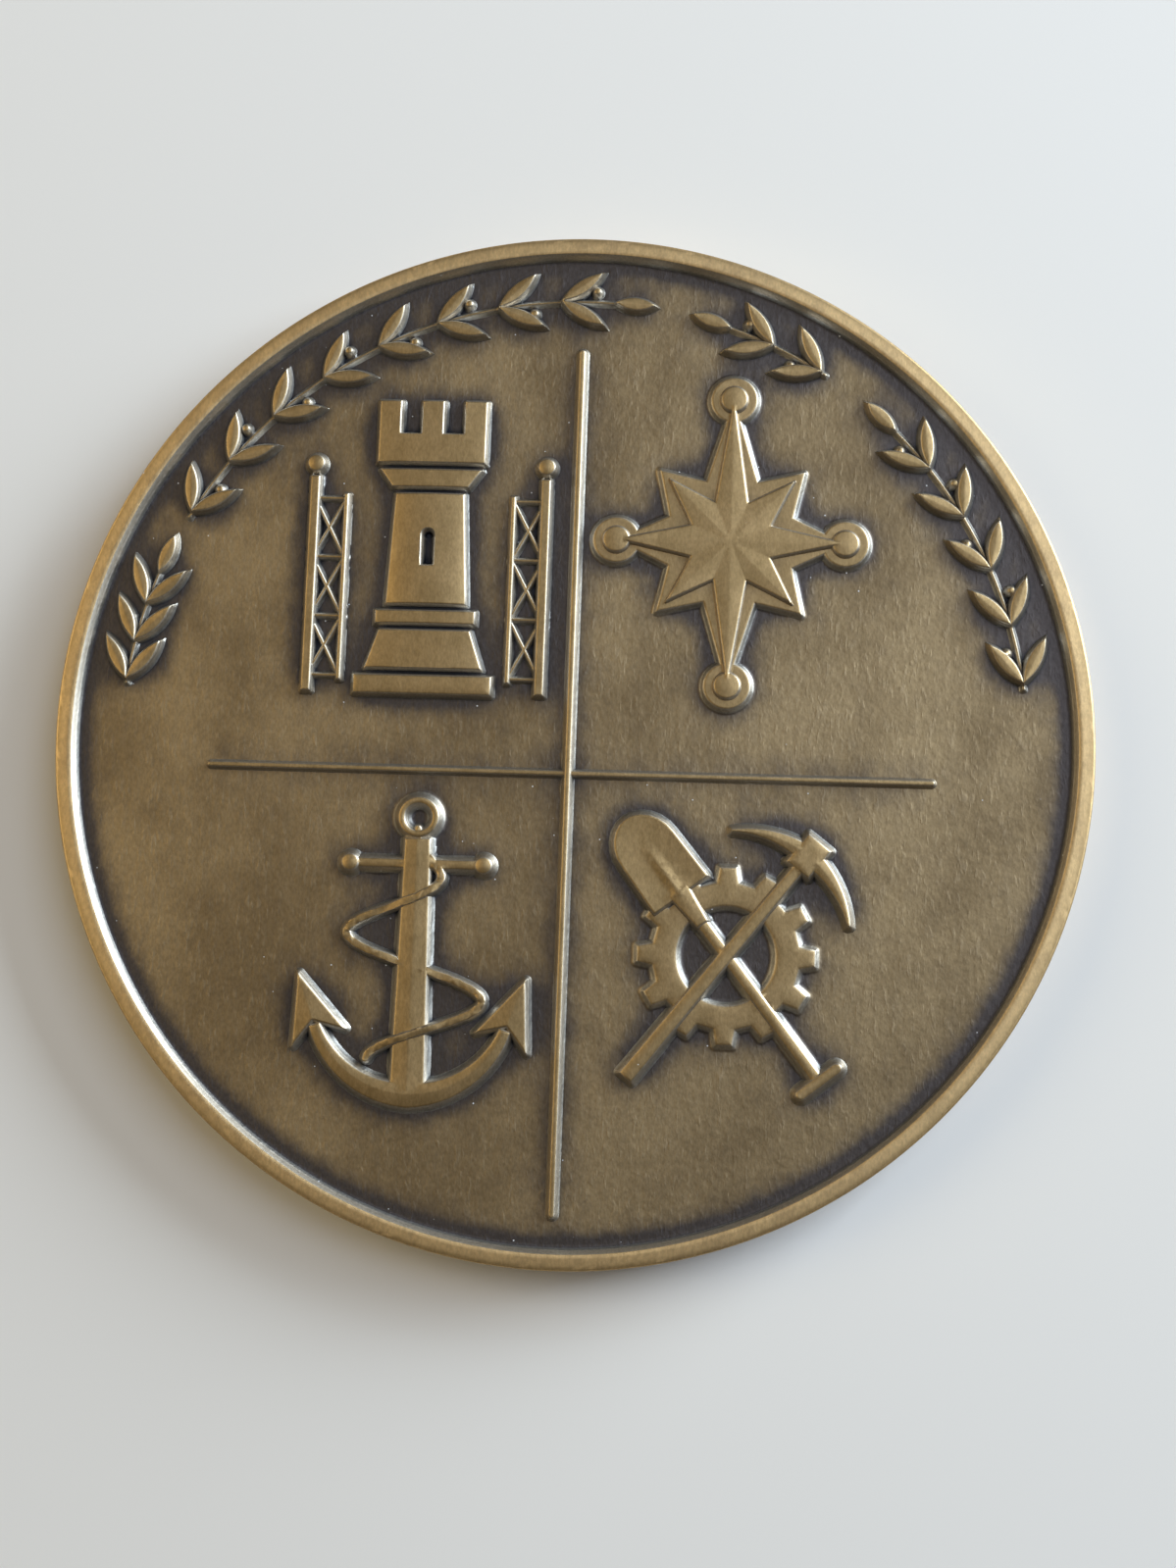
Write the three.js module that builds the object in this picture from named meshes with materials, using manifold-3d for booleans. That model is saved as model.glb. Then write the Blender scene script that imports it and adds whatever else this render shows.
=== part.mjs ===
// A round bronze table medal, struck in one piece and lying on its reverse.
// Millimetres, +Z up. The origin is the centre of the flat reverse rim, +Y is the top of the design.
// Obverse: four quarters between two thin bars, with a tower between lattice masts, a compass star,
// a fouled anchor, and a pick and spade on a cog wheel, under a broken arch of laurel.
// Reverse: a laurel wreath round a blank tablet.

import * as THREE from 'three';
import { mergeVertices } from 'three/addons/utils/BufferGeometryUtils.js';
import Module from 'manifold-3d';

const wasm = await Module();
wasm.setup();

// ---- Driving dimensions ----

const RADIUS = 35;
const THICKNESS = 4.5;
const EDGE_ROUND = 0.25;
const RIM_WIDTH = 1.1;
const RIM_BEVEL = 0.4;
const REVERSE_RIM_WIDTH = 1.8;
const OBVERSE_DEPTH = 0.75;
const REVERSE_DEPTH = 0.6;
const RIM_FACETS = 96;

// Reliefs stand this high over the field, and their sides slope out by DRAFT at the foot.
const DRAFT = 0.2;
const ROOT = 0.2;
const TOP = 0.72;
const UPPER = 0.66;
const MIDDLE = 0.55;
const LOWER = 0.4;
const REVERSE_TOP = 0.5;

const BAR_X = 0;
const BAR_Y = -2.2;
const UPRIGHT_ENDS = [27.0, -31.5];
const UPRIGHT_WIDTH = 0.4;
const LEVEL_HALF = 24.35;
const LEVEL_WIDTH = 0.3;

const TOWER = at(-10.1, 2.9);
const STAR = at(10.5, 13.9);
const ANCHOR = at(-9.9, -17.2);
const TOOLS = at(10.95, -14.1);

const LAUREL_RADIUS = 30.6;
const LAUREL_GROUPS = [
  { from: 174, to: 156, pairs: 3 },
  { from: 151, to: 81, pairs: 8 },
  { from: 57, to: 75, pairs: 2 },
  { from: 8, to: 50, pairs: 5 },
];
const WREATH_RADIUS = 25;

// ---- Outlines, drawn flat in X and Y ----

function at(x, y) {
  return new THREE.Vector2(x, y);
}

function ray(angle) {
  return at(Math.cos(angle), Math.sin(angle));
}

function polygon(points) {
  return new THREE.Shape(points);
}

function disc(centre, radius, hole = 0) {
  const shape = new THREE.Shape();
  shape.absarc(centre.x, centre.y, radius, 0, 2 * Math.PI);
  if (hole > 0) {
    const inner = new THREE.Path();
    inner.absarc(centre.x, centre.y, hole, 0, 2 * Math.PI);
    shape.holes.push(inner);
  }
  return shape;
}

// A straight bar between two points, which may taper from one width to another.
function bar(from, to, width, endWidth = width) {
  const along = to.clone().sub(from).normalize();
  const across = at(-along.y, along.x);
  const corner = (end, half) => end.clone().addScaledVector(across, half);
  return polygon([
    corner(from, -width / 2),
    corner(to, -endWidth / 2),
    corner(to, endWidth / 2),
    corner(from, width / 2),
  ]);
}

// A pointed leaf with two bowed sides, growing from its stalk at an angle.
function leaf(base, angle, length, width) {
  const place = placer(base, angle);
  const tip = place(length, 0);
  const right = place(0.45 * length, -width);
  const left = place(0.45 * length, width);
  const shape = new THREE.Shape();
  shape.moveTo(base.x, base.y);
  shape.quadraticCurveTo(right.x, right.y, tip.x, tip.y);
  shape.quadraticCurveTo(left.x, left.y, base.x, base.y);
  return shape;
}

// A band along part of a circle, as wide as taper says at each step from one end to the other.
function arcBand(centre, radius, start, end, steps, taper) {
  const outer = [];
  const inner = [];
  for (let i = 0; i <= steps; i++) {
    const angle = THREE.MathUtils.lerp(start, end, i / steps);
    const half = taper(i / steps) / 2;
    outer.push(centre.clone().addScaledVector(ray(angle), radius + half));
    inner.unshift(centre.clone().addScaledVector(ray(angle), radius - half));
  }
  return polygon([...outer, ...inner]);
}

// A band of one width along a curve.
function ribbon(curve, steps, width) {
  const left = [];
  const right = [];
  for (let i = 0; i <= steps; i++) {
    const point = curve(i / steps);
    const along = curve(i / steps + 0.01).sub(point).normalize();
    const across = at(-along.y, along.x);
    left.push(point.clone().addScaledVector(across, width / 2));
    right.unshift(point.clone().addScaledVector(across, -width / 2));
  }
  return polygon([...left, ...right]);
}

// Places given along and across a line that leaves a centre at an angle.
function placer(centre, angle) {
  const along = ray(angle);
  const across = at(-along.y, along.x);
  return (u, v) => centre.clone().addScaledVector(along, u).addScaledVector(across, v);
}

// ---- Solids ----

function solid(geometry) {
  const bare = geometry.clone();
  bare.deleteAttribute('normal');
  bare.deleteAttribute('uv');
  const merged = mergeVertices(bare, 1e-5);
  const triangles = [];
  for (let i = 0; i < merged.index.count; i += 3) {
    const [a, b, c] = merged.index.array.slice(i, i + 3);
    if (a !== b && b !== c && c !== a) triangles.push(a, b, c);
  }
  return new wasm.Manifold(new wasm.Mesh({
    numProp: 3,
    vertProperties: new Float32Array(merged.attributes.position.array),
    triVerts: new Uint32Array(triangles),
  }));
}

// A raised shape whose drawn outline is its top. Its sides slope out to the field and on below it.
function raised(shape, relief, curveSegments = 5) {
  const rise = relief + ROOT;
  const geometry = new THREE.ExtrudeGeometry(shape, {
    depth: ROOT,
    curveSegments,
    bevelEnabled: true,
    bevelSegments: 1,
    bevelThickness: rise,
    bevelSize: (DRAFT * rise) / relief,
  });
  geometry.translate(0, 0, -2 * ROOT);
  return solid(geometry);
}

// The blank: a disc turned about Z, with a rim round a sunk field on each face.
function blank() {
  const inner = RADIUS - RIM_WIDTH;
  const reverseInner = RADIUS - REVERSE_RIM_WIDTH;
  const field = THICKNESS - OBVERSE_DEPTH;
  const profile = [
    at(0, REVERSE_DEPTH),
    at(reverseInner - RIM_BEVEL, REVERSE_DEPTH),
    at(reverseInner, 0),
    at(RADIUS - EDGE_ROUND, 0),
    at(RADIUS, EDGE_ROUND),
    at(RADIUS, THICKNESS - EDGE_ROUND),
    at(RADIUS - EDGE_ROUND, THICKNESS),
    at(inner, THICKNESS),
    at(inner - RIM_BEVEL, field),
    at(0, field),
  ];
  return solid(new THREE.LatheGeometry(profile, RIM_FACETS).rotateX(Math.PI / 2));
}

// ---- Obverse ----

function dividingBars() {
  const [top, foot] = UPRIGHT_ENDS;
  return [
    raised(bar(at(BAR_X, top), at(BAR_X, foot), UPRIGHT_WIDTH), MIDDLE),
    raised(bar(at(-LEVEL_HALF, BAR_Y), at(LEVEL_HALF, BAR_Y), LEVEL_WIDTH), LOWER),
  ];
}

// A crenellated round tower of six courses, between two lattice masts with ball finials.
function tower() {
  const place = placer(TOWER, Math.PI / 2);
  const course = (low, high, lowHalf, highHalf) => polygon([
    place(low, lowHalf), place(low, -lowHalf), place(high, -highHalf), place(high, highHalf),
  ]);
  const shaft = course(6.2, 13.9, 2.75, 2.35);
  const slit = new THREE.Path([place(8.9, 0.5), place(8.9, -0.5), place(11.4, -0.5), place(11.4, 0.5)]);
  shaft.holes.push(slit);
  const parts = [
    raised(course(0, 1.3, 4.7, 4.7), UPPER),
    raised(course(1.75, 4.4, 4.0, 3.1), TOP),
    raised(course(4.85, 5.75, 3.4, 3.4), UPPER),
    raised(shaft, TOP),
    raised(course(14.35, 15.6, 2.6, 3.5), UPPER),
    raised(battlement(place), TOP),
  ];
  for (const side of [-1, 1]) parts.push(...mast(place, side));
  return parts;
}

// The parapet with its merlons, as one outline.
function battlement(place) {
  const low = 16.05;
  const sill = 18.1;
  const high = 20.4;
  const edges = [-3.7, -2.2, -0.75, 0.75, 2.2, 3.7];
  const points = [place(low, edges[5]), place(low, edges[0])];
  edges.forEach((edge, i) => {
    const rises = i % 2 === 0;
    points.push(place(rises && i > 0 ? sill : high, edge));
    points.push(place(rises || i === 5 ? high : sill, edge));
  });
  return polygon(points.filter((point, i) => i === 0 || point.distanceTo(points[i - 1]) > 0));
}

function mast(place, side) {
  const post = 7.95 * side;
  const stile = 5.75 * side;
  const sills = [1.2, 5.3, 9.4, 13.5];
  const parts = [
    raised(bar(place(0.1, post), place(15.0, post), 0.6), UPPER),
    raised(bar(place(0.9, stile), place(13.8, stile), 0.28), MIDDLE),
    raised(disc(place(15.9, post), 0.6), TOP, 4),
  ];
  for (const sill of sills) {
    parts.push(raised(bar(place(sill, stile), place(sill, post), 0.2), LOWER));
  }
  for (let i = 0; i < sills.length - 1; i++) {
    parts.push(raised(bar(place(sills[i], stile), place(sills[i + 1], post), 0.16), LOWER - 0.03));
    parts.push(raised(bar(place(sills[i], post), place(sills[i + 1], stile), 0.16), LOWER - 0.06));
  }
  return parts;
}

// A compass star in two tiers, with a ball at each of its four long points.
function star() {
  const tiers = [
    { relief: LOWER, ball: 1.55, notch: 4.5, grow: 0.9 },
    { relief: TOP, ball: 0.9, notch: 2.9, grow: 0 },
  ];
  const parts = [];
  for (const { relief, ball, notch, grow } of tiers) {
    const reach = [9.9, 6.0 + grow, 7.75, 6.0 + grow];
    const points = [];
    for (let i = 0; i < 8; i++) {
      const angle = (i * Math.PI) / 4;
      points.push(STAR.clone().addScaledVector(ray(Math.PI / 2 - angle), reach[i % 4]));
      points.push(STAR.clone().addScaledVector(ray(Math.PI / 2 - angle - Math.PI / 8), notch));
    }
    parts.push(raised(polygon(points.reverse()), relief));
    for (let i = 0; i < 8; i += 2) {
      const tip = STAR.clone().addScaledVector(ray(Math.PI / 2 - (i * Math.PI) / 4), reach[i % 4]);
      parts.push(raised(disc(tip, ball), relief - 0.02));
    }
  }
  return parts;
}

// An anchor with a ring, a stock, two arms and barbed flukes, and a rope wound round its shank.
function anchor() {
  const place = placer(ANCHOR, Math.PI / 2);
  const armRadius = 6.8;
  const armEnd = THREE.MathUtils.degToRad(70);
  const down = -Math.PI / 2;
  const taper = (t) => 1.7 - 0.9 * Math.abs(2 * t - 1);
  const arms = arcBand(ANCHOR, armRadius, down - armEnd, down + armEnd, 14, taper);
  const turns = 3.35;
  const rope = (t) => {
    const swing = 4.9 * (1 - Math.exp(-((t / 0.28) ** 2))) * (1 - 0.35 * t ** 8);
    return place(10.9 - 15.3 * t, -swing * Math.sin(turns * Math.PI * t));
  };
  const parts = [
    raised(disc(place(11.75, 0), 1.45, 0.85), UPPER, 8),
    raised(bar(place(8.6, -4.3), place(8.6, 4.3), 0.7), MIDDLE),
    raised(bar(place(10.3, 0), place(-6.9, 0), 1.7, 2.3), TOP),
    raised(arms, UPPER),
    raised(ribbon(rope, 34, 0.55), LOWER),
  ];
  for (const side of [-1, 1]) {
    parts.push(raised(disc(place(8.6, 4.5 * side), 0.6), TOP, 4));
    const angle = down + armEnd * side;
    const end = ANCHOR.clone().addScaledVector(ray(angle), armRadius);
    const fluke = placer(end, angle + (Math.PI / 2) * side);
    parts.push(raised(polygon([fluke(3.6, 0), fluke(-0.9, 1.85), fluke(0.3, 0), fluke(-0.9, -1.85)]), TOP));
  }
  return parts;
}

// A spade and a pick, crossed over a cog wheel.
function tools() {
  const parts = [raised(cog(TOOLS, 3.3, 4.9, 5.9, 12), LOWER)];
  const spade = placer(TOOLS, THREE.MathUtils.degToRad(128));
  const pick = placer(TOOLS, THREE.MathUtils.degToRad(52));
  const blade = new THREE.Shape();
  blade.moveTo(spade(5.0, -2.2).x, spade(5.0, -2.2).y);
  blade.lineTo(spade(8.8, -2.1).x, spade(8.8, -2.1).y);
  blade.quadraticCurveTo(spade(10.6, -1.7).x, spade(10.6, -1.7).y, spade(11.3, 0).x, spade(11.3, 0).y);
  blade.quadraticCurveTo(spade(10.6, 1.7).x, spade(10.6, 1.7).y, spade(8.8, 2.1).x, spade(8.8, 2.1).y);
  blade.lineTo(spade(5.0, 2.2).x, spade(5.0, 2.2).y);
  parts.push(
    raised(blade, TOP),
    raised(bar(spade(5.4, 0), spade(2.6, 0), 1.5, 0.85), UPPER),
    raised(bar(spade(3.2, 0), spade(-10.2, 0), 0.8), MIDDLE),
    raised(bar(spade(-10.2, -1.6), spade(-10.2, 1.6), 0.8), UPPER),
  );
  const headAngle = THREE.MathUtils.degToRad(52);
  const headReach = THREE.MathUtils.degToRad(42);
  const taper = (t) => 1.3 - 1.1 * Math.abs(2 * t - 1);
  const head = arcBand(pick(1.1, 0), 7.5, headAngle - headReach, headAngle + headReach, 12, taper);
  parts.push(
    raised(head, TOP),
    raised(bar(pick(7.4, 0), pick(9.8, 0), 1.9), TOP - 0.02),
    raised(bar(pick(7.6, 0), pick(-10.4, 0), 0.8, 1.1), UPPER - 0.02),
  );
  return parts;
}

function cog(centre, hole, root, tip, teeth) {
  const points = [];
  for (let i = 0; i < teeth; i++) {
    for (const [turn, radius] of [[-0.28, root], [-0.17, tip], [0.17, tip], [0.28, root]]) {
      points.push(centre.clone().addScaledVector(ray(((i + turn) * 2 * Math.PI) / teeth), radius));
    }
  }
  const shape = polygon(points);
  const inner = new THREE.Path();
  inner.absarc(centre.x, centre.y, hole, 0, 2 * Math.PI);
  shape.holes.push(inner);
  return shape;
}

// ---- Laurel ----

// A laurel branch along part of a circle: a stem, leaves in pairs, a leaf at its tip, and berries
// by turns on either side.
function branch({ from, to, pairs, radius, length, width, spread, berry, relief }) {
  const start = THREE.MathUtils.degToRad(from);
  const end = THREE.MathUtils.degToRad(to);
  const turn = Math.sign(end - start);
  const step = (end - start) / (pairs + 0.55);
  const centre = at(0, 0);
  const stem = arcBand(centre, radius, start, start + step * pairs, 2 * pairs, () => 0.14);
  const parts = [raised(stem, 0.45 * relief)];
  for (let i = 0; i < pairs; i++) {
    const angle = start + step * (i + 0.1);
    const node = ray(angle).multiplyScalar(radius);
    for (const side of [-1, 1]) {
      const heading = angle + turn * (Math.PI / 2) + spread * side;
      parts.push(raised(leaf(node, heading, length, width), relief, 3));
    }
    const spot = ray(angle + 0.55 * step).multiplyScalar(radius + 2.6 * berry * (i % 2 ? 1 : -1));
    parts.push(raised(disc(spot, berry), 0.8 * relief, 3));
  }
  const last = start + step * (pairs - 0.05);
  const tip = ray(last).multiplyScalar(radius);
  parts.push(raised(leaf(tip, last + turn * (Math.PI / 2), length * 0.8, width), 0.9 * relief, 3));
  return parts;
}

function legendLaurel() {
  const spread = THREE.MathUtils.degToRad(33);
  return LAUREL_GROUPS.flatMap((group) => branch({
    ...group,
    radius: LAUREL_RADIUS,
    length: 3.4,
    width: 0.85,
    spread,
    berry: 0.28,
    relief: TOP,
  }));
}

// ---- Reverse ----

// Two branches tied at the foot, round a blank tablet with a small star above and below it.
function reverseReliefs() {
  const spread = THREE.MathUtils.degToRad(30);
  const wreath = {
    pairs: 8,
    radius: WREATH_RADIUS,
    length: 6,
    width: 1.7,
    spread,
    berry: 0.55,
    relief: REVERSE_TOP,
  };
  const tablet = polygon([at(-14, -4.5), at(14, -4.5), at(14, 4.5), at(-14, 4.5)]);
  tablet.holes.push(new THREE.Path([at(-13.2, -3.7), at(13.2, -3.7), at(13.2, 3.7), at(-13.2, 3.7)]));
  const knot = at(0, -WREATH_RADIUS);
  const low = (shape) => raised(shape, REVERSE_TOP - 0.04);
  return [
    ...branch({ ...wreath, from: 264, to: 98 }),
    ...branch({ ...wreath, from: 276, to: 442 }),
    low(tablet),
    low(disc(knot, 1.1)),
    low(leaf(knot, THREE.MathUtils.degToRad(-60), 4.2, 1.2)),
    low(leaf(knot, THREE.MathUtils.degToRad(-120), 4.2, 1.2)),
    low(pointedStar(at(0, 11))),
    low(pointedStar(at(0, -11))),
  ];
}

function pointedStar(centre) {
  const points = [];
  for (let i = 0; i < 10; i++) {
    const radius = i % 2 ? 0.95 : 2.3;
    points.push(centre.clone().addScaledVector(ray(Math.PI / 2 + (i * Math.PI) / 5), radius));
  }
  return polygon(points);
}

// ---- The medal ----

function medalSolid() {
  let medal = blank();
  const obverse = [...dividingBars(), ...tower(), ...star(), ...anchor(), ...tools(), ...legendLaurel()];
  for (const part of obverse) {
    medal = medal.add(part.translate([0, 0, THICKNESS - OBVERSE_DEPTH]));
  }
  for (const part of reverseReliefs()) {
    medal = medal.add(part.rotate([0, 180, 0]).translate([0, 0, REVERSE_DEPTH]));
  }
  return medal;
}

function meshOf(manifold, name, material) {
  const { vertProperties, triVerts } = manifold.getMesh();
  const geometry = new THREE.BufferGeometry();
  geometry.setAttribute('position', new THREE.BufferAttribute(new Float32Array(vertProperties), 3));
  geometry.setIndex(new THREE.BufferAttribute(new Uint32Array(triVerts), 1));
  const mesh = new THREE.Mesh(geometry, material);
  mesh.name = name;
  return mesh;
}

const bronze = new THREE.MeshStandardMaterial({ color: 0x8a6c42, roughness: 0.42, metalness: 1 });

const challengeCoin = new THREE.Group();
challengeCoin.add(meshOf(medalSolid(), 'medal', bronze));

export default challengeCoin;
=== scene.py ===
"""A struck bronze medal lying on a pale floor, with every relief cut in one closed mesh.

The design is drawn in millimetres on the medal's face, +Y to the top. Each relief is a signed
distance to the outline of its top, a wall that slopes out from it and a top surface, and a face
is the highest of its reliefs. Chains of points are traced along every crease, and a constrained
triangulation joins them with grid points that are closer together where the surface bends.
"""

import math

import bpy
import numpy as np
from mathutils import Matrix, Vector
from mathutils.geometry import delaunay_2d_cdt


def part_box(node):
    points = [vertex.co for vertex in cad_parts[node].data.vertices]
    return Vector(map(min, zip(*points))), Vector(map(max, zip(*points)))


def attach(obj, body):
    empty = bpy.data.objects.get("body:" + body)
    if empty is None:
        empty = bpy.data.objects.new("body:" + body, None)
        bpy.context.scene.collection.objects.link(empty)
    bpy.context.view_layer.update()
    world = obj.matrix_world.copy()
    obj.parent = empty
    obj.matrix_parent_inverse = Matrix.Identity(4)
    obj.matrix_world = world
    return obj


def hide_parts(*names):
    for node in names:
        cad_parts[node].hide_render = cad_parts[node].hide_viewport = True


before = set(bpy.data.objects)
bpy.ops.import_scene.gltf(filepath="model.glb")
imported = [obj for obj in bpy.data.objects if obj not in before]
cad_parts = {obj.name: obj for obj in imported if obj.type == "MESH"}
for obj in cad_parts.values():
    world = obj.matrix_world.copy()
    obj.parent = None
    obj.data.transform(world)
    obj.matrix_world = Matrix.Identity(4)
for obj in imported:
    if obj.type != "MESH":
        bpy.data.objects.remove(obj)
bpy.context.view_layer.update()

# ---- The blank, in millimetres, from the frame ----

MM = 0.001
low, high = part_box("medal")
RADIUS = (high.x - low.x) / 2 / MM
THICKNESS = (high.z - low.z) / MM
EDGE_ROUND = 0.18
CROWN = 0.02
RIM_WIDTH = 1.1
RIM_BEVEL = 0.4
REVERSE_RIM_WIDTH = 1.8
OBVERSE_DEPTH = 0.75
REVERSE_DEPTH = 0.6

# How high the reliefs stand over the field, in the same steps as the CAD model.
TOP = 0.72
UPPER = 0.66
MIDDLE = 0.55
LOWER = 0.4
REVERSE_TOP = 0.5

# A wall's width, and how much of it is rounded over at the top and filleted at the foot.
WALL = 0.3
FINE_WALL = 0.22
STAR_WALL = 0.26
SHOULDER = 0.3
FILLET = 0.25

# ---- The mesh, in millimetres ----

# Grid spacings with the bends that call for them, how closely the chains follow the creases and
# how far apart their points may be, and the gaps inside each face's outer ring.
PITCH = 0.1
SPACINGS = (1.6, 0.8, 0.4, 0.2, 0.1)
SHARP_BEND = 0.0025
SOFT_BEND = 0.012
CREASE_PITCH = 0.06
CREASE_ERROR = 0.004
CREASE_LENGTH = 0.9
FOOT_ERROR = 0.005
FOOT_LENGTH = 0.6
HEM = (0.13, 0.42)
HEM_ERROR = 0.012
SHOULDER_HEM = 0.07
RAISED = 0.01
HEIGHT_TIE = 0.004
RIDGE = 0.06
RIDGE_GAP = 0.02
MERGE = 0.008
RIM_GAP = 0.2
RING_GAP = 0.2
RING_COUNT = 480
RING_ANGLES = np.arange(RING_COUNT) * 2 * math.pi / RING_COUNT
CREASE_ANGLE = math.radians(38)

# How far the painted recess shade and the patina reach: into a recess, and round a relief.
RECESS_REACH = 0.3
HALO_REACH = 1.0

# ---- Distances to outlines ----


def unit(angle):
    return np.array([math.cos(angle), math.sin(angle)])


class Line:
    """Places along (u) and across (v) a line that leaves a centre at an angle."""

    def __init__(self, centre, angle):
        self.centre = np.array(centre, float)
        self.along = unit(angle)
        self.across = np.array([-self.along[1], self.along[0]])

    def place(self, u, v):
        return self.centre + u * self.along + v * self.across

    def split(self, x, y):
        dx = x - self.centre[0]
        dy = y - self.centre[1]
        u = dx * self.along[0] + dy * self.along[1]
        v = dx * self.across[0] + dy * self.across[1]
        return u, v


class Outline:
    """A closed outline: its signed distance, negative inside, and the box that holds it."""

    def __init__(self, distance, points, reach=0.0):
        points = np.array(points, float)
        self.distance = distance
        self.low = points.min(0) - reach
        self.high = points.max(0) + reach


def polygon(points):
    points = np.array(points, float)

    def distance(x, y):
        nearest = np.full(x.shape, 1e9)
        inside = np.zeros(x.shape, bool)
        for a, b in zip(points, np.roll(points, -1, 0)):
            edge = b - a
            length = edge @ edge
            t = np.clip(((x - a[0]) * edge[0] + (y - a[1]) * edge[1]) / length, 0, 1)
            gap = (x - a[0] - t * edge[0]) ** 2 + (y - a[1] - t * edge[1]) ** 2
            nearest = np.minimum(nearest, gap)
            spans = (a[1] > y) != (b[1] > y)
            with np.errstate(divide="ignore", invalid="ignore"):
                crossing = edge[0] * (y - a[1]) / edge[1] + a[0]
            inside ^= spans & (x < crossing)
        return np.where(inside, -1, 1) * np.sqrt(nearest)

    return Outline(distance, points)


def disc(centre, radius, hole=0.0):
    def distance(x, y):
        r = np.hypot(x - centre[0], y - centre[1])
        if hole > 0:
            return np.maximum(r - radius, hole - r)
        return r - radius

    return Outline(distance, [centre], radius)


def strut(start, end, width, end_width=None):
    """A straight stroke with round ends, which may taper."""
    start = np.array(start, float)
    end = np.array(end, float)
    edge = end - start
    end_width = width if end_width is None else end_width

    def distance(x, y):
        t = ((x - start[0]) * edge[0] + (y - start[1]) * edge[1]) / (edge @ edge)
        t = np.clip(t, 0, 1)
        gap = np.hypot(x - start[0] - t * edge[0], y - start[1] - t * edge[1])
        return gap - (width + (end_width - width) * t) / 2

    return Outline(distance, [start, end], max(width, end_width) / 2)


def bar(start, end, width, end_width=None):
    """A straight stroke with square ends, which may taper."""
    start = np.array(start, float)
    end = np.array(end, float)
    end_width = width if end_width is None else end_width
    line = Line(start, math.atan2(*(end - start)[::-1]))
    length = np.hypot(*(end - start))
    corners = [(0, -width / 2), (length, -end_width / 2), (length, end_width / 2), (0, width / 2)]
    return polygon([line.place(u, v) for u, v in corners])


def lens(base, angle, length, width):
    """A pointed leaf between two equal arcs."""
    line = Line(base, angle)
    half = width / 2
    radius = (length**2 / 4 + half**2) / (2 * half)
    offset = radius - half

    def distance(x, y):
        u, v = line.split(x, y)
        return np.hypot(u - length / 2, np.abs(v) + offset) - radius

    return Outline(distance, [base, line.place(length, 0)], half)


def arc_band(centre, radius, start, end, taper):
    """A band along part of a circle, as wide as taper says from one end to the other."""
    points = []
    steps = 24
    for side in (1, -1):
        for i in range(steps + 1)[::side]:
            t = i / steps
            reach = radius + side * taper(t) / 2
            points.append(np.array(centre) + reach * unit(start + (end - start) * t))
    return polygon(points)


def track(points):
    """A polyline's distance, the length along it and the signed offset across it."""
    points = np.array(points, float)

    def measure(x, y):
        best = np.full(x.shape, 1e9)
        along = np.zeros(x.shape)
        across = np.zeros(x.shape)
        done = 0.0
        for a, b in zip(points[:-1], points[1:]):
            edge = b - a
            length = np.hypot(*edge)
            dx = x - a[0]
            dy = y - a[1]
            t = np.clip((dx * edge[0] + dy * edge[1]) / length**2, 0, 1)
            gap = np.hypot(dx - t * edge[0], dy - t * edge[1])
            nearer = gap < best
            side = (edge[0] * dy - edge[1] * dx) / length
            best = np.where(nearer, gap, best)
            along = np.where(nearer, done + t * length, along)
            across = np.where(nearer, side, across)
            done += length
        return best, along, across

    return measure


# ---- Reliefs ----


class Relief:
    """An outline raised to a top surface, with a sloping wall round it.

    A top surface may list its ridges, each a signed distance to a line where two facets meet.
    """

    def __init__(self, outline, top, wall=WALL):
        self.outline = outline
        self.top = top if callable(top) else (lambda x, y, d: np.full(x.shape, float(top)))
        self.wall = wall
        self.ridges = getattr(top, "ridges", [])

    def meets(self, low, high):
        own_low = self.outline.low - 2 * self.wall
        own_high = self.outline.high + 2 * self.wall
        return (own_low < high).all() and (own_high > low).all()

    def near(self, x, y):
        low = self.outline.low - self.wall
        high = self.outline.high + self.wall
        inside = (x > low[0]) & (x < high[0]) & (y > low[1]) & (y < high[1])
        return np.nonzero(inside)[0]

    def height(self, x, y):
        d = self.outline.distance(x, y)
        return d, self.top(x, y, d) * wall_ramp(d / self.wall)


def wall_ramp(t):
    """1 on the top, down to 0 at the foot, rounded over at the top and filleted at the foot."""
    over = 1 - (t + SHOULDER) ** 2 / (4 * SHOULDER)
    fillet = (1 + FILLET - t) ** 2 / (4 * FILLET)
    slope = np.where(t < SHOULDER, over, np.where(t > 1 - FILLET, fillet, 1 - t))
    return np.where(t < -SHOULDER, 1, np.where(t > 1 + FILLET, 0, slope))


def crowned(height, drop=0.06, reach=0.5):
    """A top that falls a little towards its edges."""
    return lambda x, y, d: height - drop * np.clip(1 + d / reach, 0, 1) ** 2


def ridged(height, line, slope, floor=0.3):
    """Two flat facets that meet on a line."""

    def top(x, y, d):
        return np.maximum(height - slope * np.abs(line.split(x, y)[1]), floor)

    top.ridges = [lambda x, y: line.split(x, y)[1]]
    return top


def rounded(height, line, half, drop):
    """A barrel along a line, as of a round bar or a round tower."""

    def top(x, y, d):
        v = np.clip(np.abs(line.split(x, y)[1]) / half, 0, 1)
        return height - drop * (1 - np.sqrt(1 - 0.96 * v**2))

    return top


def domed(height, centre, radius, drop):
    def top(x, y, d):
        r = np.clip(np.hypot(x - centre[0], y - centre[1]) / radius, 0, 1)
        return height - drop * r**2

    return top


# ---- Obverse ----

BAR_Y = -2.2


def dividing_bars():
    upright = Line((0, 0), math.pi / 2)
    level = Line((0, BAR_Y), 0)
    return [
        Relief(strut((0, 26.9), (0, -31.4), 0.4), rounded(MIDDLE, upright, 0.3, 0.1), FINE_WALL),
        Relief(strut((-24.3, BAR_Y), (24.3, BAR_Y), 0.32), rounded(LOWER, level, 0.25, 0.06), 0.16),
    ]


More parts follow.
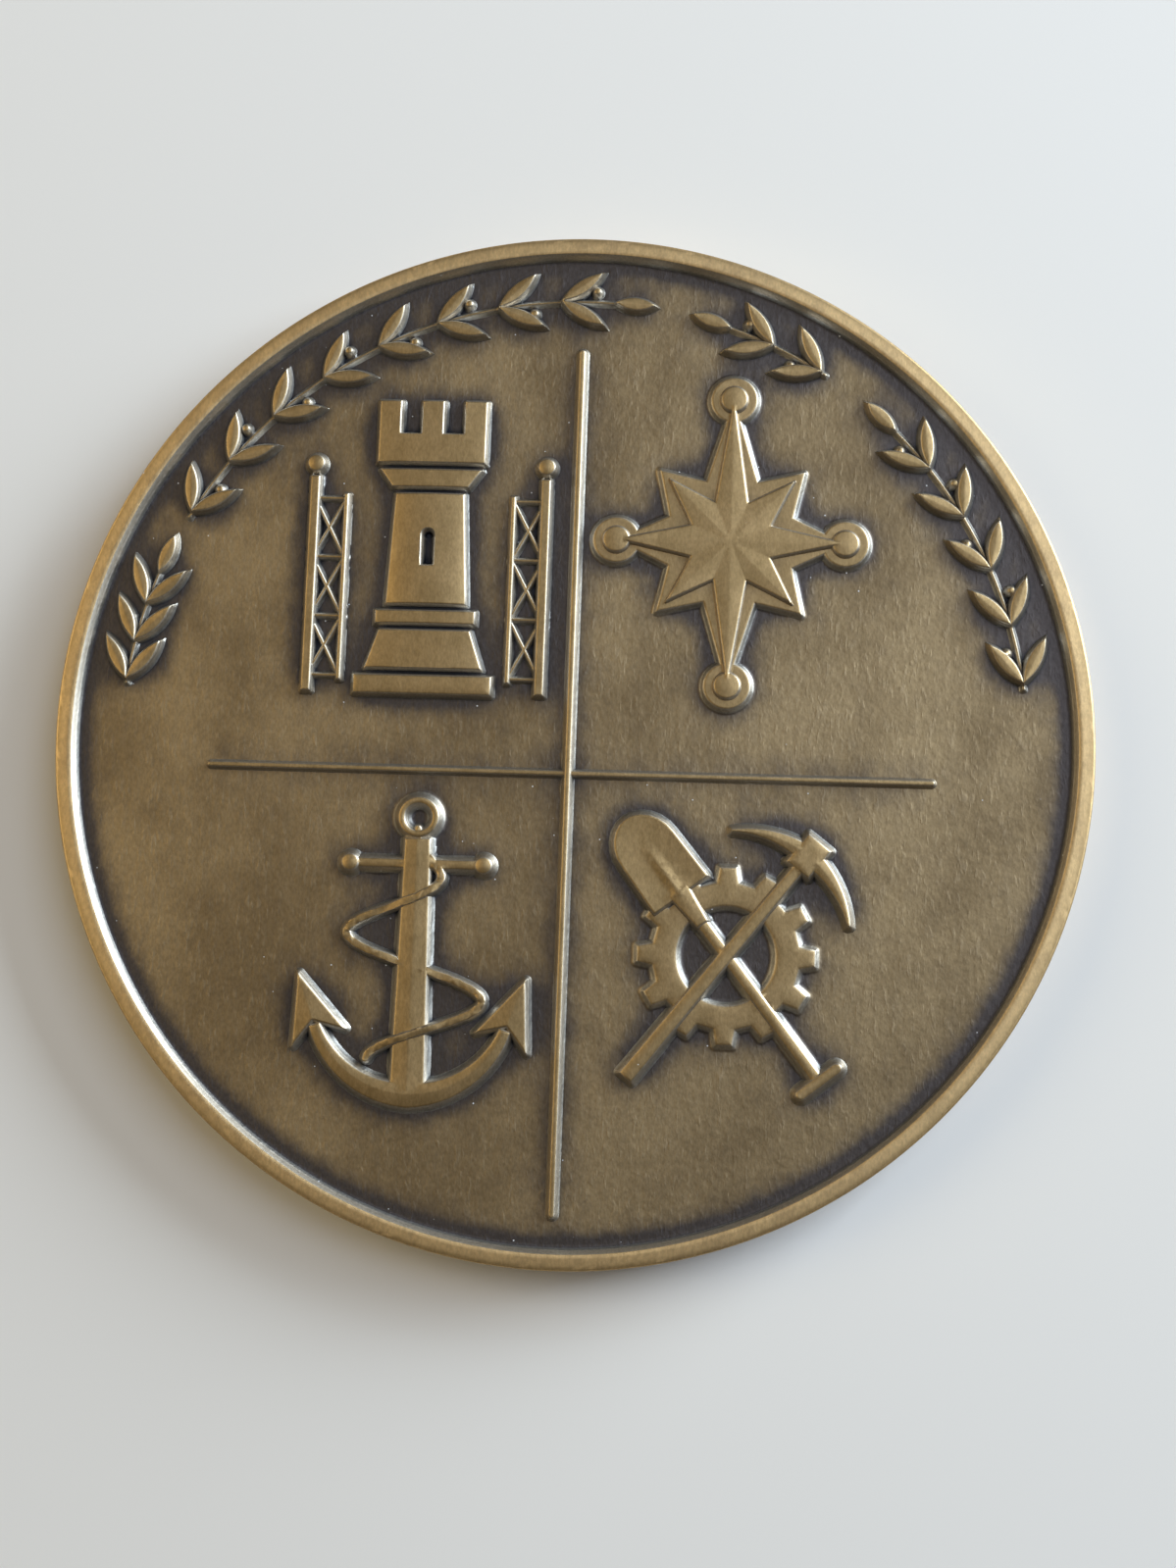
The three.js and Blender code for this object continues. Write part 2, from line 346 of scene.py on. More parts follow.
def tower():
    """A crenellated round tower of six courses, between two lattice masts."""
    axis = Line((-10.1, 2.9), math.pi / 2)

    def course(low, high, low_half, high_half):
        corners = [(low, low_half), (low, -low_half), (high, -high_half), (high, high_half)]
        return polygon([axis.place(u, v) for u, v in corners])

    shaft = course(6.2, 13.9, 2.75, 2.35)
    slit = course(8.9, 11.0, 0.45, 0.45)
    crown = disc(axis.place(11.0, 0), 0.45)
    solid = shaft.distance

    def pierced(x, y):
        opening = np.minimum(slit.distance(x, y), crown.distance(x, y))
        return np.maximum(solid(x, y), -opening)

    shaft.distance = pierced
    edges = [3.7, 2.2, 0.75, -0.75, -2.2, -3.7]
    battlement = [axis.place(16.05, edges[0]), axis.place(16.05, edges[-1])]
    for i, edge in enumerate(reversed(edges)):
        rises = i % 2 == 0
        battlement.append(axis.place(18.1 if rises else 20.4, edge))
        battlement.append(axis.place(20.4 if rises else 18.1, edge))
    # The two outer sides run straight up, so they need no point at the sill.
    del battlement[2], battlement[-1]
    reliefs = [
        Relief(course(0, 1.3, 4.7, 4.7), crowned(UPPER), FINE_WALL),
        Relief(course(1.75, 4.4, 4.0, 3.1), rounded(TOP, axis, 4.0, 0.2), FINE_WALL),
        Relief(course(4.85, 5.75, 3.4, 3.4), rounded(UPPER, axis, 3.5, 0.15), FINE_WALL),
        Relief(shaft, rounded(TOP, axis, 2.9, 0.4), FINE_WALL),
        Relief(course(14.35, 15.6, 2.6, 3.5), rounded(UPPER, axis, 3.6, 0.2), FINE_WALL),
        Relief(polygon(battlement), rounded(TOP, axis, 4.2, 0.22), FINE_WALL),
    ]
    for side in (-1, 1):
        reliefs += mast(axis, side)
    return reliefs


def mast(axis, side):
    post = 7.95 * side
    stile = 5.75 * side
    sills = [1.2, 5.3, 9.4, 13.5]
    ball = axis.place(15.9, post)
    reliefs = [
        Relief(bar(axis.place(0.1, post), axis.place(15.0, post), 0.6), UPPER, FINE_WALL),
        Relief(bar(axis.place(0.9, stile), axis.place(13.8, stile), 0.26), MIDDLE, 0.2),
        Relief(disc(ball, 0.6), domed(TOP, ball, 0.7, 0.16), FINE_WALL),
    ]
    for u in sills:
        reliefs.append(Relief(strut(axis.place(u, stile), axis.place(u, post), 0.18), LOWER, 0.17))
    for u0, u1 in zip(sills, sills[1:]):
        for a, b in ((stile, post), (post, stile)):
            reliefs.append(Relief(strut(axis.place(u0, a), axis.place(u1, b), 0.15), LOWER, 0.17))
    return reliefs


def star():
    """A compass star in two tiers, with a ball at each of its four long points."""
    centre = np.array([10.5, 13.9])
    reliefs = []
    for tier, (height, ball, notch, grow) in enumerate([(LOWER, 1.55, 4.5, 0.9), (TOP, 0.9, 2.9, 0)]):
        reach = [9.9, 6.0 + grow, 7.75, 6.0 + grow]
        rays = [unit(math.pi / 2 - i * math.pi / 8) for i in range(16)]
        points = [centre + rays[i] * (notch if i % 2 else reach[i // 2 % 4]) for i in range(16)]
        top = star_facets(centre) if tier else height
        reliefs.append(Relief(polygon(points), top, STAR_WALL))
        for i in range(0, 8, 2):
            tip = centre + rays[2 * i] * reach[i % 4]
            cap = domed(height, tip, ball, 0.07) if tier else height
            reliefs.append(Relief(disc(tip, ball), cap, STAR_WALL))
    return reliefs


def star_facets(centre):
    """Two facets along each point, which meet on its middle line."""

    def top(x, y, d):
        angle = np.arctan2(y - centre[1], x - centre[0])
        radius = np.hypot(x - centre[0], y - centre[1])
        turn = (angle + math.pi / 8) % (math.pi / 4) - math.pi / 8
        return TOP - 0.075 * radius * np.abs(np.sin(turn))

    def folds(x, y):
        angle = np.arctan2(y - centre[1], x - centre[0])
        return np.hypot(x - centre[0], y - centre[1]) * np.sin(8 * angle) / 8

    top.ridges = [folds]
    return top


def anchor():
    """An anchor with a ring, a stock and barbed flukes, and a rope wound round its shank."""
    centre = np.array([-9.9, -17.2])
    axis = Line(centre, math.pi / 2)
    reach = 6.8
    sweep = math.radians(70)
    down = -math.pi / 2
    ring = axis.place(11.75, 0)

    def ring_top(x, y, d):
        r = np.hypot(x - ring[0], y - ring[1])
        return UPPER - 0.25 * np.clip(np.abs(r - 1.15) / 0.36, 0, 1) ** 2

    def from_arm(x, y):
        return np.hypot(x - centre[0], y - centre[1]) - reach + 0.1

    def arm_top(x, y, d):
        return UPPER - 0.16 * np.abs(from_arm(x, y))

    arm_top.ridges = [from_arm]
    stock = Line(axis.place(8.6, 0), 0)

    def taper(t):
        return 1.7 - 0.9 * abs(2 * t - 1)

    reliefs = [
        Relief(disc(ring, 1.45, 0.85), ring_top),
        Relief(bar(axis.place(8.6, -4.3), axis.place(8.6, 4.3), 0.7), rounded(MIDDLE, stock, 0.4, 0.15)),
        Relief(bar(axis.place(10.3, 0), axis.place(-6.9, 0), 1.7, 2.3), ridged(0.64, axis, 0.1)),
        Relief(arc_band(centre, reach, down - sweep, down + sweep, taper), arm_top),
        rope(axis),
    ]
    for side in (-1, 1):
        ball = axis.place(8.6, 4.5 * side)
        reliefs.append(Relief(disc(ball, 0.6), domed(TOP, ball, 0.7, 0.16)))
        angle = down + sweep * side
        fluke = Line(centre + reach * unit(angle), angle + side * math.pi / 2)
        barbs = [(3.6, 0), (-0.9, 1.85), (0.3, 0), (-0.9, -1.85)]
        shape = polygon([fluke.place(u, v) for u, v in barbs])
        reliefs.append(Relief(shape, ridged(TOP, fluke, 0.09)))
    return reliefs


def rope(axis):
    """A laid rope, which passes over the shank, behind it and over it again."""
    steps = 96
    half = 0.29
    lay = 0.85
    turns = 3.35
    drop = 15.3

    def route_at(t):
        swing = 4.9 * (1 - math.exp(-((t / 0.28) ** 2))) * (1 - 0.35 * t**8)
        return axis.place(10.9 - drop * t, -swing * math.sin(turns * math.pi * t))

    route = [route_at(i / steps) for i in range(steps + 1)]
    measure = track(route)
    over = [route_at(1 / turns), route_at(3 / turns)]

    def distance(x, y):
        return measure(x, y)[0] - half

    def top(x, y, d):
        gap, along, across = measure(x, y)
        strand = 0.5 + 0.5 * np.cos(2 * math.pi * (along / lay + 0.42 * across / half))
        lift = sum(0.2 * np.exp(-(((x - o[0]) ** 2 + (y - o[1]) ** 2) / 1.7**2) ** 2) for o in over)
        crown = np.sqrt(np.clip(1 - 0.8 * (across / half) ** 2, 0.1, 1))
        return np.minimum(0.36 + 0.14 * crown + 0.09 * np.sqrt(strand) + lift, 0.745)

    return Relief(Outline(distance, route, half), top, 0.18)


def tools():
    """A spade and a pick, crossed over a cog wheel."""
    centre = np.array([10.95, -14.1])
    spade = Line(centre, math.radians(128))
    pick = Line(centre, math.radians(52))
    blade_points = [spade.place(5.0, -2.2), spade.place(8.8, -2.1)]
    for i in range(1, 12):
        angle = math.pi * (i / 12 - 0.5)
        blade_points.append(spade.place(8.8 + 2.5 * math.cos(angle), 2.1 * math.sin(angle)))
    blade_points += [spade.place(8.8, 2.1), spade.place(5.0, 2.2)]
    blade = polygon(blade_points)

    def blade_top(x, y, d):
        u, v = spade.split(x, y)
        rib = 0.12 * np.clip(1 - np.abs(v) / 0.5, 0, 1) * np.clip((9.4 - u) / 2.5, 0, 1)
        return 0.58 + rib + 0.07 * np.clip(np.abs(v) / 2.2, 0, 1) ** 2

    head_angle = math.radians(52)
    sweep = math.radians(42)
    head_centre = pick.place(1.1, 0)
    head_reach = 7.5

    def taper(t):
        return 1.3 - 1.1 * abs(2 * t - 1)

    def from_head(x, y):
        return np.hypot(x - head_centre[0], y - head_centre[1]) - head_reach

    def head_top(x, y, d):
        return TOP - 0.15 * np.abs(from_head(x, y))

    head_top.ridges = [from_head]
    head = arc_band(head_centre, head_reach, head_angle - sweep, head_angle + sweep, taper)
    grip = Line(spade.place(-10.2, 0), math.atan2(spade.across[1], spade.across[0]))
    return [
        Relief(cog(centre, 3.3, 4.9, 5.9, 12), crowned(LOWER, 0.05, 0.4)),
        Relief(blade, blade_top),
        Relief(bar(spade.place(5.4, 0), spade.place(2.6, 0), 1.5, 0.85), rounded(UPPER, spade, 0.9, 0.2)),
        Relief(bar(spade.place(3.2, 0), spade.place(-10.2, 0), 0.8), rounded(MIDDLE, spade, 0.45, 0.2)),
        Relief(
            strut(spade.place(-10.2, -1.4), spade.place(-10.2, 1.4), 0.8),
            rounded(UPPER, grip, 0.45, 0.2),
        ),
        Relief(head, head_top),
        Relief(bar(pick.place(7.4, 0), pick.place(9.8, 0), 1.9), crowned(TOP, 0.08, 0.4)),
        Relief(bar(pick.place(7.6, 0), pick.place(-10.4, 0), 0.8, 1.1), rounded(UPPER, pick, 0.6, 0.2)),
    ]


def cog(centre, hole, root, tip, teeth):
    points = []
    for i in range(teeth):
        for turn, radius in ((-0.28, root), (-0.17, tip), (0.17, tip), (0.28, root)):
            points.append(np.array(centre) + radius * unit((i + turn) * 2 * math.pi / teeth))
    outer = polygon(points)
    solid = outer.distance

    def distance(x, y):
        return np.maximum(solid(x, y), hole - np.hypot(x - centre[0], y - centre[1]))

    outer.distance = distance
    return outer


# ---- Laurel ----


def branch(start, end, pairs, radius, length, width, spread, berry, relief):
    """A laurel branch along part of a circle: a stem, leaves in pairs, a tip leaf and berries."""
    start = math.radians(start)
    end = math.radians(end)
    turn = math.copysign(1, end - start)
    step = (end - start) / (pairs + 0.55)
    stem = arc_band((0, 0), radius, start, start + step * pairs, lambda t: 0.14)
    reliefs = [Relief(stem, 0.45 * relief, 0.18)]

    def grow(angle, heading, size, height):
        base = radius * unit(angle)
        line = Line(base, heading)
        shape = lens(base, heading, size, width)
        slope = 0.2 * height / width
        reliefs.append(Relief(shape, ridged(height, line, slope, 0.2), 0.2))

    for i in range(pairs):
        angle = start + step * (i + 0.1)
        for side in (-1, 1):
            grow(angle, angle + turn * math.pi / 2 + math.radians(spread) * side, length, relief)
        spot = (radius + 2.6 * berry * (1 if i % 2 else -1)) * unit(angle + 0.55 * step)
        reliefs.append(Relief(disc(spot, berry), domed(0.8 * relief, spot, berry, 0.12), 0.18))
    last = start + step * (pairs - 0.05)
    grow(last, last + turn * math.pi / 2, 0.8 * length, 0.9 * relief)
    return reliefs


def legend_laurel():
    reliefs = []
    for start, end, pairs in ((174, 156, 3), (151, 81, 8), (57, 75, 2), (8, 50, 5)):
        reliefs += branch(start, end, pairs, 30.6, 3.4, 0.9, 33, 0.28, TOP)
    return reliefs


# ---- Reverse ----


def reverse_reliefs():
    """Two branches tied at the foot, round a blank tablet with a small star above and below it."""
    reliefs = []
    for end in (98, 442):
        start = 264 if end < 180 else 276
        reliefs += branch(start, end, 8, 25, 6, 1.7, 30, 0.55, REVERSE_TOP)
    low = REVERSE_TOP - 0.04
    frame_box = polygon([(-14, -4.5), (14, -4.5), (14, 4.5), (-14, 4.5)])
    panel = polygon([(-13.2, -3.7), (13.2, -3.7), (13.2, 3.7), (-13.2, 3.7)])
    solid = frame_box.distance
    frame_box.distance = lambda x, y: np.maximum(solid(x, y), -panel.distance(x, y))
    knot = (0, -25)
    reliefs += [
        Relief(frame_box, crowned(low, 0.08, 0.3)),
        Relief(disc(knot, 1.1), domed(low, knot, 1.2, 0.15)),
        Relief(lens(knot, math.radians(-60), 4.2, 1.2), low),
        Relief(lens(knot, math.radians(-120), 4.2, 1.2), low),
        Relief(small_star((0, 11)), low),
        Relief(small_star((0, -11)), low),
    ]
    return reliefs


def small_star(centre):
    points = []
    for i in range(10):
        points.append(np.array(centre) + (0.95 if i % 2 else 2.3) * unit(math.pi / 2 + i * math.pi / 5))
    return polygon(points)


# ---- Height field ----


def heights(reliefs, x, y):
    result = np.zeros(x.shape)
    for relief in reliefs:
        spots = relief.near(x, y)
        if len(spots):
            result[spots] = np.maximum(result[spots], relief.height(x[spots], y[spots])[1])
    return result


def contours(field, keep, corner, pitch):
    """Chains of points where a sampled field is zero, in the cells whose four corners are kept."""
    nx, ny = field.shape
    above = field > 0
    whole = keep[:-1, :-1] & keep[1:, :-1] & keep[1:, 1:] & keep[:-1, 1:]
    steps = ((1, 0), (0, 1), (1, 1))
    crosses = []
    for di, dj in steps:
        cross = np.zeros(field.shape, bool)
        cross[: nx - di, : ny - dj] = above[: nx - di, : ny - dj] != above[di:, dj:]
        crosses.append(cross)

    def edge(kind, di, dj):
        """One kind of edge of every cell: whether it is crossed, and its number."""
        part = (slice(di, nx - 1 + di), slice(dj, ny - 1 + dj))
        number = kind * nx * ny + np.arange(nx * ny).reshape(nx, ny)
        return crosses[kind][part], number[part]

    links = []
    for triangle in (((0, 0, 0), (1, 1, 0), (2, 0, 0)), ((2, 0, 0), (0, 0, 1), (1, 0, 0))):
        edges = [edge(*spot) for spot in triangle]
        for (m1, n1), (m2, n2) in zip(edges, edges[1:] + edges[:1]):
            both = m1 & m2 & whole
            links.append(np.stack([n1[both], n2[both]], 1))
    links = np.concatenate(links)
    neighbours = {}
    for p, q in links.tolist():
        neighbours.setdefault(p, []).append(q)
        neighbours.setdefault(q, []).append(p)
    chains = []
    ends = [p for p, near in neighbours.items() if len(near) == 1]
    for start in ends + list(neighbours):
        if start not in neighbours:
            continue
        chain = [start]
        here = start
        while here in neighbours:
            onward = [q for q in neighbours.pop(here) if q in neighbours]
            if not onward:
                break
            here = onward[0]
            chain.append(here)
        if start not in ends and len(chain) > 2:
            chain.append(start)
        numbers = np.array(chain)
        kind, spot = np.divmod(numbers, nx * ny)
        i, j = np.divmod(spot, ny)
        di = np.array([step[0] for step in steps])[kind]
        dj = np.array([step[1] for step in steps])[kind]
        first = field[i, j]
        t = first / (first - field[i + di, j + dj])
        chains.append(np.stack([corner[0] + (i + t * di) * pitch, corner[1] + (j + t * dj) * pitch], 1))
    return chains


def simplify(points, tolerance, longest):
    """Only the points that a chain needs to keep its shape, and no segment over a length."""
    kept = {0, len(points) - 1}
    closed = np.allclose(points[0], points[-1])
    stack = [(0, len(points) - 1)]
    if closed:
        far = int(np.argmax(np.hypot(*(points - points[0]).T)))
        kept.add(far)
        stack = [(0, far), (far, len(points) - 1)]
    while stack:
        a, b = stack.pop()
        if b - a < 2:
            continue
        edge = points[b] - points[a]
        length = max(np.hypot(*edge), 1e-9)
        gap = np.abs((points[a:b] - points[a]) @ np.array([-edge[1], edge[0]])) / length
        worst = a + int(np.argmax(gap))
        if gap[worst - a] > tolerance:
            kept.add(worst)
            stack += [(a, worst), (worst, b)]
    corners = points[sorted(kept)]
    result = [corners[:1]]
    for p, q in zip(corners[:-1], corners[1:]):
        count = max(1, math.ceil(np.hypot(*(q - p)) / longest))
        result.append(p + (q - p) * (np.arange(1, count + 1) / count)[:, None])
    return np.concatenate(result)


def creases(reliefs, radius):
    """Chains along every outline, foot, ridge and crossing of the reliefs that can be seen."""
    chains = []
    rank = {id(relief): number for number, relief in enumerate(reliefs)}
    for number, relief in enumerate(reliefs):
        margin = relief.wall + HEM[-1] + 0.1
        low = relief.outline.low - margin
        high = relief.outline.high + margin
        nx, ny = (np.ceil((high - low) / CREASE_PITCH).astype(int) + 1).tolist()
        across = low[0] + np.arange(nx) * CREASE_PITCH
        up = low[1] + np.arange(ny) * CREASE_PITCH
        x, y = (side.ravel() for side in np.meshgrid(across, up, indexing="ij"))
        close = [other for other in reliefs if other is not relief and other.meets(low, high)]
        before = heights([other for other in close if rank[id(other)] < number], x, y)
        after = heights([other for other in close if rank[id(other)] > number], x, y)
        d, own = relief.height(x, y)
        inside = np.hypot(x, y) < radius - RING_GAP
        seen = (own > np.maximum(before, after) - HEIGHT_TIE) & inside
        shoulder = SHOULDER * relief.wall
        foot = (1 + FILLET) * relief.wall
        lip = (1 - FILLET) * relief.wall

        def trace(field, keep, tolerance, longest):
            field = field.reshape(nx, ny)
            for chain in contours(field, keep.reshape(nx, ny), low, CREASE_PITCH):
                if len(chain) > 3:
                    chains.append(simplify(chain, tolerance, longest))

        for level in (-shoulder - SHOULDER_HEM, -shoulder, 0, shoulder, lip):
            trace(d - level, seen, CREASE_ERROR, CREASE_LENGTH)
        trace(d - foot, seen, FOOT_ERROR, FOOT_LENGTH)
        for hem in HEM:
            trace(d - foot - hem, seen, HEM_ERROR, FOOT_LENGTH)
        both_raised = np.minimum(own, before) > RAISED
        crossed = both_raised & (np.maximum(own, before) > after) & inside
        trace(own - before, crossed, CREASE_ERROR, CREASE_LENGTH)
        on_top = seen & (d < -shoulder - RIDGE_GAP)
        for ridge in relief.ridges:
            line = ridge(x, y)
            for side in (-RIDGE, RIDGE):
                trace(line - side, on_top, CREASE_ERROR, CREASE_LENGTH)
    return chains


def spread(chosen, spacing, occupied):
    """The points of a square raster that are chosen and not too near what is already there."""
    reach = max(1, int(0.42 * spacing / PITCH))
    blocked = occupied.copy()
    for axis in (0, 1):
        grown = blocked.copy()
        for shift in range(1, reach + 1):
            grown |= np.roll(blocked, shift, axis) | np.roll(blocked, -shift, axis)
        blocked = grown
    step = round(spacing / PITCH)
    half = chosen.shape[0] // 2
    on_grid = np.zeros(chosen.shape, bool)
    on_grid[half % step :: step, half % step :: step] = True
    picked = chosen & on_grid & ~blocked
    occupied |= picked
    return np.argwhere(picked)


def bend(field, step):
    """How far a field lies from the straight line between its neighbours a step away."""
    result = np.zeros(field.shape)
    for axis in (0, 1):
        ahead = np.roll(field, step, axis)
        back = np.roll(field, -step, axis)
        result = np.maximum(result, np.abs(ahead + back - 2 * field) / 2)
    return result


class Face:
    """One struck face as triangles in the plane with heights, and its boundary in order."""

    def __init__(self, reliefs, radius, raster):
        chains = creases(reliefs, radius)
        x, y = raster.x, raster.y
        inside = np.hypot(x, y) < radius - RING_GAP
        occupied = np.zeros(x.shape, bool)
        for chain in chains:
            for p, q in zip(chain[:-1], chain[1:]):
                count = int(np.hypot(*(q - p)) / (0.5 * PITCH)) + 2
                spots = p + (q - p) * np.linspace(0, 1, count)[:, None]
                i, j = np.rint(spots / PITCH).astype(int).T + raster.half
                occupied[i, j] = True

        points = [radius * np.stack([np.cos(RING_ANGLES), np.sin(RING_ANGLES)], 1)]
        count = len(RING_ANGLES)
        edges = [np.stack([np.arange(count), np.roll(np.arange(count), -1)], 1)]
        for chain in chains:
            points.append(chain)
            here = np.arange(len(chain)) + count
            edges.append(np.stack([here[:-1], here[1:]], 1))
            count += len(chain)

        zones = raster.zones
        for spacing in SPACINGS:
            step = round(spacing / PITCH)
            even = np.ones(x.shape, bool)
            for axis in (0, 1):
                even &= (np.roll(zones, step, axis) == zones) & (np.roll(zones, -step, axis) == zones)
            wanted = even & (zones > 0) & (bend(raster.height, step) > SHARP_BEND)
            if spacing >= 0.4:
                wanted |= bend(raster.blurred, step) > SOFT_BEND
            if spacing == SPACINGS[0]:
                wanted[...] = True
            spots = spread(wanted & inside, spacing, occupied)
            points.append((spots - raster.half) * PITCH)

        points = np.concatenate(points)
        edges = np.concatenate(edges)
        result = delaunay_2d_cdt(points.tolist(), edges.tolist(), [], 0, MERGE, False)
        flat = np.array([tuple(vertex) for vertex in result[0]])
        self.x, self.y = flat.T
        self.triangles = np.array(result[2])
        self.h = heights(reliefs, self.x, self.y)
        rim = np.nonzero(np.hypot(self.x, self.y) > radius - RING_GAP / 10)[0]
        angles = np.arctan2(self.y[rim], self.x[rim]) % (2 * math.pi)
        self.ring = rim[np.argsort(angles)]


# ---- A raster over a face, for the grid points, the patina and the painted recess shade ----


class Raster:
    """A height field sampled on a square raster, its blurs, and values read back from them."""

    def __init__(self, reliefs, radius):
        self.half = int(RADIUS / PITCH) + 10
        line = np.arange(-self.half, self.half + 1) * PITCH
        self.x, self.y = np.meshgrid(line, line, indexing="ij")
        x = self.x.ravel()
        y = self.y.ravel()
        total = np.zeros(x.shape)
        zones = np.zeros(x.shape, int)
        for number, relief in enumerate(reliefs):
            spots = relief.near(x, y)
            px = x[spots]
            py = y[spots]
            d, own = relief.height(px, py)
            leads = own > total[spots]
            # Every facet of a top has its own number, and walls and field are 0.
            zone = np.where(d < -SHOULDER * relief.wall, 4 * number + 4, 0)
            for i, ridge in enumerate(relief.ridges):
                zone += np.where(zone > 0, (ridge(px, py) > 0) * (i + 1), 0)
            zones[spots[leads]] = zone[leads]
            total[spots[leads]] = own[leads]
        self.height = total.reshape(self.x.shape)
        self.zones = zones.reshape(self.x.shape)
        rim = np.clip((np.hypot(self.x, self.y) - radius) / RIM_BEVEL, 0, 1) * OBVERSE_DEPTH
        self.height = np.maximum(self.height, rim)
        self.blurred = self.blur(0.9)

    def blur(self, sigma):
        reach = int(3 * sigma / PITCH) + 1
        kernel = np.exp(-0.5 * (np.arange(-reach, reach + 1) * PITCH / sigma) ** 2)
        kernel /= kernel.sum()
        result = self.height
        for axis in (0, 1):
            padded = np.pad(result, [(reach, reach) if a == axis else (0, 0) for a in (0, 1)], "edge")
            total = 0
            for i, weight in enumerate(kernel):
                window = [slice(None)] * 2
                window[axis] = slice(i, i + self.height.shape[axis])
                total = total + weight * padded[tuple(window)]
            result = total
        return result

    def read(self, field, x, y):
        fi = np.clip(x / PITCH + self.half, 0, 2 * self.half - 1.001)
        fj = np.clip(y / PITCH + self.half, 0, 2 * self.half - 1.001)
        i = fi.astype(int)
        j = fj.astype(int)
        a = fi - i
        b = fj - j
        near = field[i, j] * (1 - a) * (1 - b) + field[i + 1, j] * a * (1 - b)
        return near + field[i, j + 1] * (1 - a) * b + field[i + 1, j + 1] * a * b


# ---- The mesh ----


def rim_profile():
    """Radius and height from the obverse field, over the rim and edge, to the reverse field."""
    inner = RADIUS - RIM_WIDTH
    reverse_inner = RADIUS - REVERSE_RIM_WIDTH
    field = THICKNESS - OBVERSE_DEPTH
    # Each corner of the slopes has a point on either side of it, which rounds it a little.
    points = [(inner - RIM_BEVEL - 0.06, field), (inner - RIM_BEVEL + 0.03, field + 0.03)]
    points += [(inner - 0.03, THICKNESS - 0.05), (inner + 0.04, THICKNESS - 0.004)]
    crown = RADIUS - EDGE_ROUND
    for t in np.linspace(0, 1, 5)[1:-1]:
        points.append((inner + 0.1 + t * (crown - inner - 0.1), THICKNESS - CROWN * t**2))
    lean = math.atan(2 * CROWN / (crown - inner - 0.1))
    for i in range(7):
        angle = (math.pi / 2 - lean) * (1 - i / 6)
        drop = CROWN + EDGE_ROUND * (math.sin(math.pi / 2 - lean) - math.sin(angle))
        reach = crown + EDGE_ROUND * (math.cos(angle) - math.sin(lean)) / (1 - math.sin(lean))
        points.append((reach, THICKNESS - drop))
    for z in np.linspace(THICKNESS - EDGE_ROUND, EDGE_ROUND, 5)[1:-1]:
        points.append((RADIUS, z))
    for i in range(5):
        angle = -math.pi / 2 * i / 4
        reach = RADIUS - EDGE_ROUND + EDGE_ROUND * math.cos(angle)
        points.append((reach, EDGE_ROUND + EDGE_ROUND * math.sin(angle)))
    points += [(RADIUS - EDGE_ROUND - 0.15, 0), (reverse_inner + 0.2, 0), (reverse_inner + 0.04, 0)]
    points += [(reverse_inner - 0.03, 0.05), (reverse_inner - RIM_BEVEL + 0.03, REVERSE_DEPTH - 0.03)]
    points += [(reverse_inner - RIM_BEVEL - 0.06, REVERSE_DEPTH)]
    return points


def zip_rings(first, first_angles, second, second_angles):
    """Triangles between two rings of vertices whose angles run the same way from the same start."""
    triangles = []
    i = 0
    j = 0
    while i < len(first) or j < len(second):
        a = first[i % len(first)]
        b = second[j % len(second)]
        next_a = first_angles[i + 1] if i + 1 < len(first_angles) else 2 * math.pi
        next_b = second_angles[j + 1] if j + 1 < len(second_angles) else 2 * math.pi
        if j >= len(second) or (i < len(first) and next_a <= next_b):
            triangles.append((a, b, first[(i + 1) % len(first)]))
            i += 1
        else:
            triangles.append((a, b, second[(j + 1) % len(second)]))
            j += 1
    return triangles


